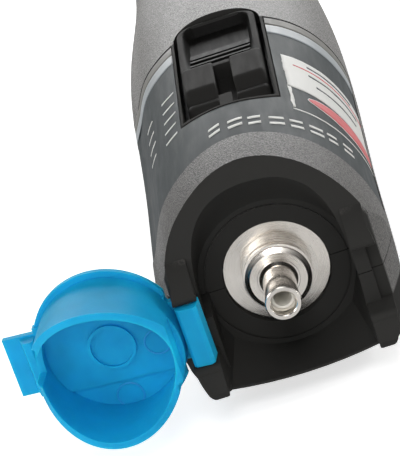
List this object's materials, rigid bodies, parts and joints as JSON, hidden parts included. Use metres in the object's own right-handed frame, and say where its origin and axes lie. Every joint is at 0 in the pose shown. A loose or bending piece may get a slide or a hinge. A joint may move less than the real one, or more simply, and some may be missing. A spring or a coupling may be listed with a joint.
{
  "type": "visual fault locator",
  "caption": "Hand-held visual fault locator: textured charcoal handle with a dished slide button, steel ferrule port in a hooded nose and a hinged blue dust cap.",
  "frame": {"origin": "centre of the steel port flange's front face, on the port axis", "axes": "-Y out of the port, +Z towards the slide button, +X to the latch side of the dust cap"},
  "size_m": [0.0557, 0.1474, 0.0349],
  "materials": {
    "shell_plastic": "fine grain, satin sheen",
    "label_film": "smooth printed film",
    "button_plastic": "smooth satin",
    "turned_steel": "fine turning marks",
    "sleeve_ceramic": "ground",
    "housing_brass": "turned",
    "lens_glass": "polished",
    "cap_plastic": "moulded, slightly translucent",
    "board_laminate": "solder mask",
    "chip_plastic": "moulded",
    "trimmer_plastic": "moulded",
    "can_metal": "drawn",
    "cell_jacket": "shrink film over steel",
    "contact_metal": "nickel plated",
    "screw_metal": "blackened",
    "diode_metal": "gold flashed"
  },
  "bodies": {
    "handset": {"upper_shell": "shell_plastic", "lower_shell": "shell_plastic", "battery_door": "shell_plastic", "face_label": "label_film", "port_flange": "turned_steel", "port_nozzle": "turned_steel", "ferrule_sleeve": "sleeve_ceramic", "port_nut": "housing_brass", "laser_housing": "housing_brass", "focus_lens": "lens_glass", "lens_retainer": "housing_brass", "diode_mount": "housing_brass", "laser_diode": "diode_metal", "diode_board": "board_laminate", "circuit_board": "board_laminate", "driver_chip": "chip_plastic", "power_trimmer": "trimmer_plastic", "board_capacitor": "can_metal", "slide_switch": "contact_metal", "battery_cell_left": "cell_jacket", "battery_cell_right": "cell_jacket", "plate_contact": "contact_metal", "spring_contact": "contact_metal", "bridge_contact": "contact_metal", "door_screw": "screw_metal", "case_screws": "screw_metal", "hinge_pin": "contact_metal"},
    "cap": {"dust_cap": "cap_plastic"},
    "slider": {"slide_button": "button_plastic", "slide_carrier": "button_plastic", "switch_lever": "chip_plastic"}
  },
  "joints": [
    {"name": "cap_hinge", "type": "hinge", "parent": "handset", "child": "cap", "pos_m": [-0.0123, -0.0108, 0], "axis": [0, 0, 1], "range_deg": [0, 189.5]},
    {"name": "switch_slide", "type": "slide", "parent": "handset", "child": "slider", "axis": [0, -1, 0], "range_m": [0, 0.004]}
  ]
}
